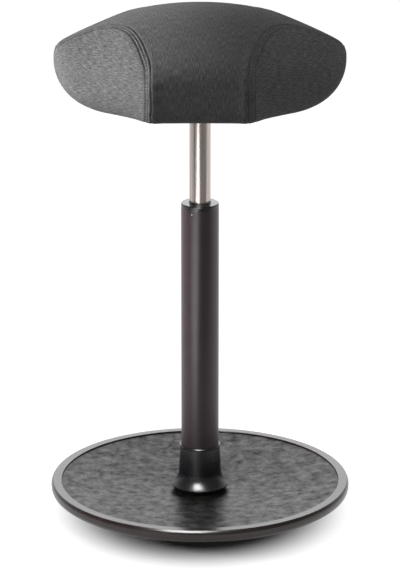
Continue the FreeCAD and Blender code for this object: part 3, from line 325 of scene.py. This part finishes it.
# The corners of the section at each distance across. The ridge is an arc that ends in the round
# of the tip, and the keel swings up under the tip on a quarter ellipse. The seam moves from near
# the edge at the nose to near the ridge at the tip.
def seatLines(across):
    s = seat
    across = np.minimum(np.abs(across), s["halfWidth"] - 0.02)
    tipX = s["halfWidth"] - s["tipRound"]
    spread = s["crownAcross"] - s["tipRound"]
    tipCentre = s["top"] - s["crownAcross"] + sqrt(spread ** 2 - tipX ** 2)
    crown = s["top"] - s["crownAcross"] + np.sqrt(s["crownAcross"] ** 2 - across ** 2)
    tip = tipCentre + np.sqrt(np.maximum(s["tipRound"] ** 2 - (across - tipX) ** 2, 0))
    ridge = np.where(across <= tipX * s["crownAcross"] / spread, crown, tip)
    middle = tipCentre - s["tipThickness"]
    swing = np.clip((across - s["halfWidth"] + s["tipHang"]) / s["tipHang"], 0, 1)
    keel = middle - (middle - s["foot"]) * np.sqrt(1 - swing ** 2)
    depth = planDepth(across)
    fade = np.clip((s["halfWidth"] - across) / (s["halfWidth"] - s["nose"]), 0, 1)
    pinch = fade ** s["seamPinch"]
    seam = s["edgeStart"] * pinch + depth * s["shoulderLean"] * (1 - pinch)
    seamHeight = ridge - (s["crownAlong"] - np.sqrt(s["crownAlong"] ** 2 - seam ** 2))
    footRound = (seamHeight - keel) * s["footShare"]
    wide = keel + footRound
    return {
        "seam": seam, "seamHeight": seamHeight, "ridge": ridge, "depth": depth, "wide": wide,
        "keel": keel, "ease": np.where(across <= s["nose"], 1.0, s["tipEase"]),
        "shoulder": wide + (seamHeight - wide) * (s["shoulderShare"] + s["shoulderMore"] * fade),
        "edge": depth * (1 - s["shoulderLean"] * (1 - fade ** s["leanFade"])),
        "base": depth - footRound * (s["footDraw"] + s["footDrawMore"] * fade)}


# An arc between two points that stands out from its chord by bulge: its length, and the point at
# a share of it, by turning through the arc's angle
def arcRun(startY, startZ, endY, endZ, bulge):
    chord = np.hypot(endY - startY, endZ - startZ)
    radius = (chord ** 2 / 4 + bulge ** 2) / (2 * bulge)
    half = np.arcsin(np.clip(chord / (2 * radius), 0, 1))
    alongY, alongZ = (endY - startY) / chord, (endZ - startZ) / chord

    def at(share):
        angle = (2 * share - 1) * half
        along = chord / 2 + radius * np.sin(angle)
        out = radius * (np.cos(angle) - np.cos(half))
        return startY + along * alongY - out * alongZ, startZ + along * alongZ + out * alongY
    return 2 * radius * half, at


# Sections by their length from the seam: up over the crown counts as positive, and down over
# shoulder, flank, foot and bottom as negative
class Section:
    def __init__(self, across):
        line = self.line = seatLines(across)
        self.angle = np.arcsin(line["seam"] / seat["crownAlong"])
        self.crown = seat["crownAlong"] * self.angle
        chord = np.hypot(line["edge"] - line["seam"], line["shoulder"] - line["seamHeight"])
        self.shoulder, self.onShoulder = arcRun(
            line["seam"], line["seamHeight"], line["edge"], line["shoulder"],
            chord * seat["shoulderBulge"] * line["ease"])
        self.flank = np.hypot(line["depth"] - line["edge"], line["shoulder"] - line["wide"])
        chord = np.hypot(line["depth"] - line["base"], line["wide"] - line["keel"])
        self.foot, self.onFoot = arcRun(line["depth"], line["wide"], line["base"], line["keel"],
                                        chord * seat["footBulge"])
        self.whole = self.shoulder + self.flank + self.foot

    def point(self, run):
        line, radius = self.line, seat["crownAlong"]
        angle = self.angle - run / radius
        crown = radius * np.sin(angle), line["ridge"] - radius + radius * np.cos(angle)
        shoulder = self.onShoulder(-run / self.shoulder)
        share = (-run - self.shoulder) / self.flank
        flank = (line["edge"] + (line["depth"] - line["edge"]) * share,
                 line["shoulder"] + (line["wide"] - line["shoulder"]) * share)
        foot = self.onFoot((-run - self.shoulder - self.flank) / self.foot)
        bottom = line["base"] + run + self.whole, line["keel"] + 0 * run
        zones = [run >= 0, -run < self.shoulder, -run < self.shoulder + self.flank,
                 -run < self.whole]
        pieces = [crown, shoulder, flank, foot]
        return [np.select(zones, [piece[k] for piece in pieces], bottom[k]) for k in (0, 1)]


cushion = {
    "seamBand": 12.0, "seamStep": 0.8,  # mm of fine mesh beside the seam, and its spacing
    "crownRows": 44, "shoulderRows": 26, "flankRows": 8, "footRows": 16, "bottomRows": 8,
    "middleColumns": 18, "tipColumns": 51,  # from the middle to the corner's fine band, and past it
    "cornerInside": 15, "cornerOutside": 36,  # fine columns on either side of a front corner
    "edgeSoft": 6.0, "cornerSoft": 4.0,  # mm over which the padding rounds edges and corners
    "cornerReach": 14.0,  # mm from a front corner over which its rounding fades
    "lowSection": 120.0,  # mm round a section, below which its edges round less
    "tipFade": 12.0,  # mm from the tip over which the seam's relief and its painted shade fade
    "groove": 0.35, "grooveHalf": 0.9, "puff": 0.2, "puffAt": 2.2, "puffHalf": 1.1,
    "stitchAt": 4.3, "dent": 0.8, "dentHalf": 0.9,
    "pillow": 0.35, "pillowAt": 9.5, "pillowHalf": 4.5,
    "paintedShadeHalf": 0.9, "paintedGrooveShade": 0.5, "paintedGrooveShadeHalf": 0.8,  # painted shade in the stitching and the seam
    "seamTurn": 11.0, "seamPoints": 1.5,  # mm over which the seam turns, and between its points
    "stitch": 3.4, "stitchGap": 1.2, "threadRadius": 0.42,
    "stitchFrom": 140.0, "stitchEnd": 8.0,  # mm without stitches at the seam's foot and tip
    "panelTuck": 2.0,  # mm that the bottom steps up where the dust cover starts
    "pocket": 26.0,  # mm that a hidden pocket rises over the valve pin and the lever
    "pocketFrom": -24.0, "pocketTo": 116.0, "pocketSlope": 10.0,
}


# Rows of the surface, as a zone of the section and a share of it: 0 is the crown, 1 the fine band
# above the seam, 2 the fine band below it, then shoulder, flank, foot and bottom
def surfaceRows():
    c = cushion
    fine = np.linspace(0, 1, int(c["seamBand"] / c["seamStep"]) + 1)
    zones = [(0, np.linspace(1, 0, c["crownRows"], endpoint=False)), (1, fine[::-1]), (2, fine[1:])]
    for zone, name in enumerate(("shoulderRows", "flankRows", "footRows", "bottomRows"), 3):
        zones.append((zone, np.linspace(0, 1, c[name] + 1)[1:]))
    return np.concatenate([np.stack((np.full(len(s), z), s), 1) for z, s in zones])


# The length from the seam of each row, at each distance across
def rowRuns(section, zone, share):
    band = cushion["seamBand"]
    above, below = np.minimum(band, section.crown * 0.6), np.minimum(band, section.shoulder * 0.4)
    ends = [above + (section.crown - above) * share, above * share, -below * share,
            -below - (section.shoulder - below) * share,
            -section.shoulder - section.flank * share,
            -section.shoulder - section.flank - section.foot * share]
    return np.select([zone == k for k in range(6)], ends,
                     -section.whole - section.line["base"] * share)


# Distances across: fine round the front corners and crowded towards the tips, by a sine
def surfaceColumns():
    c = cushion
    band = seat["nose"] + c["seamStep"] * np.arange(-c["cornerInside"], c["cornerOutside"] + 1)
    turn = np.linspace(0, pi / 2, c["tipColumns"] + 1)[1:]
    outer = band[-1] + (seat["halfWidth"] - band[-1]) * np.sin(turn)
    inner = np.linspace(0, band[0], c["middleColumns"] + 1)[:-1]
    half = np.concatenate((inner, band, outer))
    return np.concatenate((-half[:0:-1], half))


# The front half of the surface: each point is the mean, weighted by a bell curve, of the sections'
# points a little along and across from it, so that edges come out rounded as padding leaves them
def seatSurface(across, zone, share):
    offsets = np.linspace(-1.6, 1.6, 7)
    weights = np.exp(-offsets ** 2 / 2)
    weights /= weights.sum()
    near = np.exp(-((np.abs(across) - seat["nose"]) / cushion["cornerReach"]) ** 2)
    corner = near * cushion["cornerSoft"]
    y, z = np.zeros(across.shape), np.zeros(across.shape)
    for shift, weight in zip(offsets, weights):
        section = Section(across + shift * corner)
        run = rowRuns(section, zone, share)
        soft = np.minimum(1, section.whole / cushion["lowSection"]) * (zone < 6)
        soft *= cushion["edgeSoft"]
        for slip, part in zip(offsets, weights):
            pointY, pointZ = section.point(run + slip * soft)
            y += weight * part * pointY
            z += weight * part * pointZ
    return y, z


# The way from a run of short straight pieces to each point, and the piece that it starts from
def fromRun(points, run):
    start, span = run[:-1], run[1:] - run[:-1]
    length = (span ** 2).sum(1)
    gaps, places = [], []
    for block in np.array_split(points, len(points) // 20000 + 1):
        gap = block[:, None] - start
        share = np.clip((gap * span).sum(2) / length, 0, 1)
        gap -= share[..., None] * span
        nearest = (gap ** 2).sum(2).argmin(1)
        gaps.append(gap[np.arange(len(block)), nearest])
        places.append(nearest)
    return np.concatenate(gaps), np.concatenate(places)


# Points moved onto the surface: the nearest grid point plus a step in its tangent plane
def ontoSurface(points, front):
    grid = front.reshape(-1, 3)
    at = ((points[:, None] - grid) ** 2).sum(2).argmin(1)
    u, v = (np.gradient(front, axis=k).reshape(-1, 3)[at] for k in (0, 1))
    gap = points - grid[at]
    uu, uv, vv = (u * u).sum(1), (u * v).sum(1), (v * v).sum(1)
    gu, gv = (gap * u).sum(1), (gap * v).sum(1)
    spread = uu * vv - uv ** 2
    return (grid[at] + u * ((gu * vv - gv * uv) / spread)[:, None]
            + v * ((gv * uu - gu * uv) / spread)[:, None]), at


# A run of points at even steps, each the mean of its neighbours weighted by a bell curve, so that
# the run turns its corner in a curve
def softenedRun(run, step, soft):
    length = np.append(0, np.cumsum(np.linalg.norm(np.diff(run, axis=0), axis=1)))
    marks = np.arange(0, length[-1], step)
    offsets = np.linspace(-2, 2, 17)
    weights = np.exp(-offsets ** 2 / 2) / np.exp(-offsets ** 2 / 2).sum()
    room = np.clip(np.minimum(marks, length[-1] - marks) / (2 * soft), 0, 1)
    places = marks[:, None] + offsets * soft * room[:, None]
    return np.stack([(np.interp(places, length, run[:, k]) * weights).sum(1) for k in range(3)], 1)


# A bell curve of a distance from a place
def bell(distance, place, half):
    return np.exp(-((distance - place) / half) ** 2)


# The sewn seam by distance from it: a shallow groove between two puffed folds, a dent under each
# row of topstitching and a slight pillow beyond
def seamRelief(distance):
    c = cushion
    return (c["puff"] * bell(distance, c["puffAt"], c["puffHalf"])
            - c["groove"] * bell(distance, 0, c["grooveHalf"])
            - c["dent"] * bell(distance, c["stitchAt"], c["dentHalf"])
            + c["pillow"] * bell(distance, c["pillowAt"], c["pillowHalf"]))


# The whole cushion: the front half with its seam relief, closed by its mirror image behind. It gives
# back the right end of the front half, with its normals and its seam, for the stitches.
def makeCushion():
    rows, columns = surfaceRows(), surfaceColumns()
    across = np.repeat(columns[:, None], len(rows), 1)
    zone, share = (np.repeat(rows[None, :, k], len(columns), 0) for k in (0, 1))
    y, z = seatSurface(across, zone, share)
    front = np.stack((across, -y, z), 2)
    seamRow = int(np.flatnonzero((rows[:, 0] == 1) & (rows[:, 1] == 0))[0])
    nose = int(np.argmin(np.abs(columns - seat["nose"])))

    # the right front seam: up the corner and then out to the tip, softened, and which side of it
    # each point is on, from the direction square to the seam in the surface
    seam = np.concatenate((front[nose, seamRow:][::-1], front[nose + 1:, seamRow]))
    normal = np.cross(np.gradient(front, axis=1), np.gradient(front, axis=0))
    normal /= np.maximum(np.linalg.norm(normal, axis=2, keepdims=True), 1e-9)
    seam = softenedRun(seam, cushion["seamPoints"], cushion["seamTurn"])
    band = nose - cushion["cornerInside"]
    seam, at = ontoSurface(seam, front[band:])
    inward = np.cross(np.gradient(seam, axis=0), normal[band:].reshape(-1, 3)[at])
    inward *= -np.sign(inward[20, 0])
    folded = front.reshape(-1, 3).copy()
    folded[:, 0] = np.abs(folded[:, 0])
    gap, piece = fromRun(folded, seam)
    near = np.linalg.norm(gap, axis=1).reshape(across.shape)
    centre = (gap * inward[piece]).sum(1).reshape(across.shape) > 0
    fade = (seat["halfWidth"] - np.abs(across)) / cushion["tipFade"]
    fade = np.clip(fade, 0, 1) * (zone < 6)
    front += normal * (seamRelief(near) * fade)[..., None]
    front[..., 2] += cushion["panelTuck"] * (zone == 6) * np.clip(share * 12, 0, 1)
    walls = np.minimum(columns - cushion["pocketFrom"], cushion["pocketTo"] - columns)
    front[:, -1, 2] += cushion["pocket"] * np.clip(walls / cushion["pocketSlope"], 0, 1)
    # painted shade for the cloth's colour: darkest under each row of topstitching, less in the seam's
    # groove, faded towards the tips
    paintedShade = bell(near, cushion["stitchAt"], cushion["paintedShadeHalf"])
    paintedShade += cushion["paintedGrooveShade"] * bell(near, 0, cushion["paintedGrooveShadeHalf"])
    paintedShade *= fade

    # close the ring of rows with the mirrored back half, and each tip with a fan of faces
    loop = np.concatenate((front, front[:, -2:0:-1] * (1, -1, 1)), 1)
    count, ring = loop.shape[:2]
    index = np.arange(count * ring).reshape(count, ring)
    after = np.roll(index, -1, 1)
    quads = np.stack((index[:-1], after[:-1], after[1:], index[1:]), 2).reshape(-1, 4)
    fan = np.arange(1, ring - 2, 2)
    cap = np.stack((0 * fan, fan, fan + 1, fan + 2), 1)
    quads = np.concatenate((quads, cap[:, ::-1], cap + (count - 1) * ring))

    # threads run over the crown on the centre panel, and level round the flanks on the sides
    section = Section(across)
    run = rowRuns(section, zone, share)
    spread = np.append(0, np.cumsum(np.hypot(np.diff(columns), np.diff(planDepth(abs(columns))))))
    under = -run - section.shoulder - section.flank
    level = np.where(under > 0, section.line["wide"] - under, front[..., 2])
    centreUv = np.stack((across, run[:, :1] - run), 2)
    sideUv = np.stack((level, np.repeat(spread[:, None], len(rows), 1)), 2)
    centreUv, sideUv = (np.concatenate((u, u[:, -2:0:-1] * turn), 1).reshape(-1, 2)[quads]
                        for u, turn in ((centreUv, (1, -1)), (sideUv, (-1, 1))))
    centre = np.concatenate((centre, centre[:, -2:0:-1]), 1).reshape(-1)[quads].mean(1) > 0.5
    uv = np.where(centre[:, None, None], centreUv, sideUv)

    piece = meshPiece("seat_cushion", loop.reshape(-1, 3) * mm, quads, finishes["cover_fabric"])
    uvMap = piece.data.uv_layers.new(name="UVMap")
    uvMap.data.foreach_set("uv", (uv * mm).astype(np.float32).ravel())
    # the painted seam shade, kept on the points for the cloth's colour
    paintedShades = piece.data.attributes.new("paintedSeamShade", "FLOAT", "POINT")
    paintedShade = np.concatenate((paintedShade, paintedShade[:, -2:0:-1]), 1)
    paintedShades.data.foreach_set("value", paintedShade.astype(np.float32).ravel())
    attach(piece, "seat")
    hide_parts("seat_foam", "cover_left_panel", "cover_centre_panel", "cover_right_panel")
    print("stool: cushion of", count * ring, "points")
    part = slice(band - cushion["cornerInside"], None)
    return front[part], normal[part], seam


# One stitch: a short thread with six sides whose ends dip into the cloth
def stitchShape():
    girth = np.array([0.15, 0.8, 1.0, 1.0, 0.8, 0.15])
    height = np.array([-0.9, -0.1, 0.5, 0.5, -0.1, -0.9])
    turn = np.linspace(0, 2 * pi, 6, endpoint=False)
    radius = cushion["threadRadius"]
    along = np.repeat(np.array([-1.0, -0.8, -0.35, 0.35, 0.8, 1.0]) * cushion["stitch"] / 2, 6)
    side = np.outer(girth, np.cos(turn)).ravel() * radius
    up = (np.outer(girth, np.sin(turn)) + height[:, None]).ravel() * radius
    ring = np.arange(6)
    around = np.stack((ring, np.roll(ring, -1), np.roll(ring, -1) + 6, ring + 6), 1)
    walls = (around[None] + 6 * np.arange(5)[:, None, None]).reshape(-1, 4)
    ends = np.array([[3, 2, 1, 0], [5, 4, 3, 0], [30, 31, 32, 33], [30, 33, 34, 35]])
    return np.stack((along, side, up), 1), np.concatenate((walls, ends))


# Topstitching on both sides of every seam: even places along the seam are moved sideways to the
# stitching line, and then onto the surface
def makeStitches(front, normal, seam):
    shape, shapeQuads = stitchShape()
    pitch = cushion["stitch"] + cushion["stitchGap"]
    length = np.append(0, np.cumsum(np.linalg.norm(np.diff(seam, axis=0), axis=1)))
    marks = np.arange(cushion["stitchFrom"], length[-1] - cushion["stitchEnd"], pitch)
    middle, ahead, behind = (np.stack([np.interp(marks + shift, length, seam[:, k])
                             for k in range(3)], 1) for shift in (0, 1.5, -1.5))
    along = (ahead - behind) / np.linalg.norm(ahead - behind, axis=1, keepdims=True)
    up = normal.reshape(-1, 3)
    sideways = np.cross(along, up[ontoSurface(middle, front)[1]])
    pieces, faces = [], []
    for side in (-1, 1):
        place, at = ontoSurface(middle + side * sideways * cushion["stitchAt"], front)
        across = np.cross(up[at], along)
        across /= np.linalg.norm(across, axis=1, keepdims=True)
        forward = np.cross(across, up[at])
        stitches = (place[:, None] + forward[:, None] * shape[:, :1] + across[:, None] * shape[:, 1:2]
                    + up[at][:, None] * shape[:, 2:])
        for mirror in ((1, 1, 1), (-1, 1, 1), (1, -1, 1), (-1, -1, 1)):
            first = sum(len(points) for points in pieces)
            pieces.append((stitches * mirror).reshape(-1, 3))
            starts = first + np.arange(len(place))[:, None, None] * len(shape)
            turned = shapeQuads if mirror[0] * mirror[1] > 0 else shapeQuads[:, ::-1]
            faces.append((turned + starts).reshape(-1, 4))
    piece = meshPiece("seam_stitches", np.concatenate(pieces) * mm, np.concatenate(faces),
                      finishes["thread"])
    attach(piece, "seat")
    print("stool: stitches", 8 * len(marks))


makeStitches(*makeCushion())

studio = {
    "floor": "#b4b3b2",
    "paintedShadowReach": (0.135, 0.235),  # metres from the middle over which the painted shadow under the stool fades to white
    # the painted shadow is an ellipse, narrower across than it is deep and moved a little to the
    # front
    "paintedShadowScale": (1.12, 1, 1), "paintedShadowShift": (0, 0.02, 0),
    "roomFront": 0.25, "roomBack": 1.0,  # how bright reflections see the room
    "roomTurn": (0.0, 0.95),  # share of the way to the back over which it brightens
    "roomLight": 0.16,  # share of that which lights cloth
    "sheetFront": (-0.55, -0.22),  # metres in front over which reflections lose the white sheet
}


# Where the eye or a reflection looks, as 1, and where only light travels, as 0
def looking(tree):
    paths = [addNode(tree, "LightPath", output=name) for name in
             ("Is Camera Ray", "Is Glossy Ray", "Is Transmission Ray")]
    either = addNode(tree, "Math", {"operation": "MAXIMUM"}, {0: paths[0], 1: paths[1]})
    return addNode(tree, "Math", {"operation": "MAXIMUM"}, {0: either, 1: paths[2]})


# A pale floor that glows white away from the stool, with a painted shadow under it where the glow
# fades out, over the real shadow that it keeps. The white sheet ends a little in front of the stool,
# beyond which reflections see a dimmer floor.
def makeFloor():
    bpy.ops.mesh.primitive_plane_add(size=40)
    floor = bpy.context.object
    floor.name = "floor"
    finish, tree, shader = newFinish("painted_floor", {
        "Base Color": linear(studio["floor"]), "Roughness": 0.9, "Specular IOR Level": 0.0,
        "Emission Color": (1, 1, 1, 1)})
    place = addNode(tree, "TexCoord", output="Object")
    moved = addNode(tree, "Mapping", {"Scale": studio["paintedShadowScale"],
                    "Location": studio["paintedShadowShift"]}, {"Vector": place})
    away = addNode(tree, "VectorMath", {"operation": "LENGTH"}, {0: moved}, output="Value")
    near, far = studio["paintedShadowReach"]
    # painted shadow: the floor's glow is nothing under the stool and rises to full at the far reach
    glowPastPaintedShadow = addNode(tree, "MapRange", {"interpolation_type": "SMOOTHSTEP", 1: near, 2: far},
                   {0: away})
    depth = addNode(tree, "SeparateXYZ", links={0: place}, output=1)
    front, back = studio["sheetFront"]
    sheet = addNode(tree, "MapRange", {1: front, 2: back, 3: studio["roomFront"]}, {0: depth})
    sheet = addNode(tree, "Math", {"operation": "MAXIMUM"}, {
        0: addNode(tree, "LightPath", output="Is Camera Ray"), 1: sheet})
    glowPastPaintedShadow = addNode(tree, "Math", {"operation": "MULTIPLY"}, {0: glowPastPaintedShadow, 1: looking(tree)})
    glowPastPaintedShadow = addNode(tree, "Math", {"operation": "MULTIPLY"}, {0: glowPastPaintedShadow, 1: sheet})
    tree.links.new(glowPastPaintedShadow, shader.inputs["Emission Strength"])
    floor.data.materials.append(finish)


# A white backdrop all round, which reflections see dimmer towards the front, where a studio is
# dark, and which gives the stool only part of its light
def makeWorld():
    world = bpy.data.worlds.new("studio")
    bpy.context.scene.world = world
    world.use_nodes = True
    tree = world.node_tree
    direction = addNode(tree, "TexCoord", output="Generated")
    depth = addNode(tree, "SeparateXYZ", links={0: direction}, output=1)
    start, end = studio["roomTurn"]
    room = addNode(tree, "MapRange", {"interpolation_type": "SMOOTHSTEP", 1: start, 2: end,
                   3: studio["roomFront"], 4: studio["roomBack"]}, {0: depth})
    share = addNode(tree, "MapRange", {3: studio["roomLight"], 4: 1.0}, {0: looking(tree)})
    strength = addNode(tree, "Math", {"operation": "MULTIPLY"}, {0: room, 1: share})
    strength = addNode(tree, "Math", {"operation": "MAXIMUM"}, {
        0: addNode(tree, "LightPath", output="Is Camera Ray"), 1: strength})
    tree.nodes["Background"].inputs["Color"].default_value = (1, 1, 1, 1)
    tree.links.new(strength, tree.nodes["Background"].inputs["Strength"])


# An area lamp at a place, turned to face a target, its power in watts and its beam in degrees. It
# lights cloth, gloss or both.
def addLamp(name, place, target, size, power, beam=180, cloth=True, gloss=True):
    lamp = bpy.data.lights.new(name, "AREA")
    lamp.shape = "RECTANGLE"
    lamp.size, lamp.size_y = size
    lamp.energy = power
    lamp.spread = radians(beam)
    item = bpy.data.objects.new(name, lamp)
    item.location = place
    item.rotation_euler = (Vector(target) - Vector(place)).to_track_quat("-Z", "Y").to_euler()
    item.visible_camera = False
    item.visible_diffuse = cloth
    item.visible_glossy = gloss
    bpy.context.scene.collection.objects.link(item)


# Cloth is lit from the left by a narrow beam that hardly reaches the base, and gloss shows lamps
# of its own
makeFloor()
makeWorld()
addLamp("key_left", (-3.0, -0.1, 1.0), (0, 0, 0.66), (0.9, 0.7), 7.5, beam=30, gloss=False)
addLamp("fill_right", (3.0, 0.0, 0.9), (0, 0, 0.65), (0.9, 0.9), 17.0, gloss=False)
addLamp("soft_top", (-0.3, 0.3, 3.2), (0, 0, 0.3), (0.6, 0.6), 7.0, gloss=False)
addLamp("floor_bounce", (0, -0.4, 0.02), (0, -0.1, 0.6), (0.6, 0.2), 0.5, gloss=False)
addLamp("spot_above", (-0.42, -1.7, 2.2), (0, 0, 0.08), (1.3, 1.9), 190.0, cloth=False)
addLamp("back_sheet", (0, 2.6, 1.1), (0, 0, 0.1), (2.4, 1.2), 15.0, cloth=False)
addLamp("floor_strip", (-0.52, -1.2, 0.01), (-0.52, -1.2, 1), (0.62, 1.5), 16.0, cloth=False)

# a long lens from a little above, as fitted to the photograph, in mm, metres and degrees down
shot = {"lens": 209.6, "sensor": 36, "place": (0, -4.319, 1.656), "tilt": 17.46, "reach": 60}
camera = bpy.data.cameras.new("camera")
camera.lens = shot["lens"]
camera.sensor_width = shot["sensor"]
camera.clip_end = shot["reach"]
view = bpy.data.objects.new("camera", camera)
view.location = shot["place"]
view.rotation_euler = (radians(90 - shot["tilt"]), 0, 0)
bpy.context.scene.collection.objects.link(view)
bpy.context.scene.camera = view
bpy.context.scene.view_settings.view_transform = "Standard"
print("stool: studio ready")
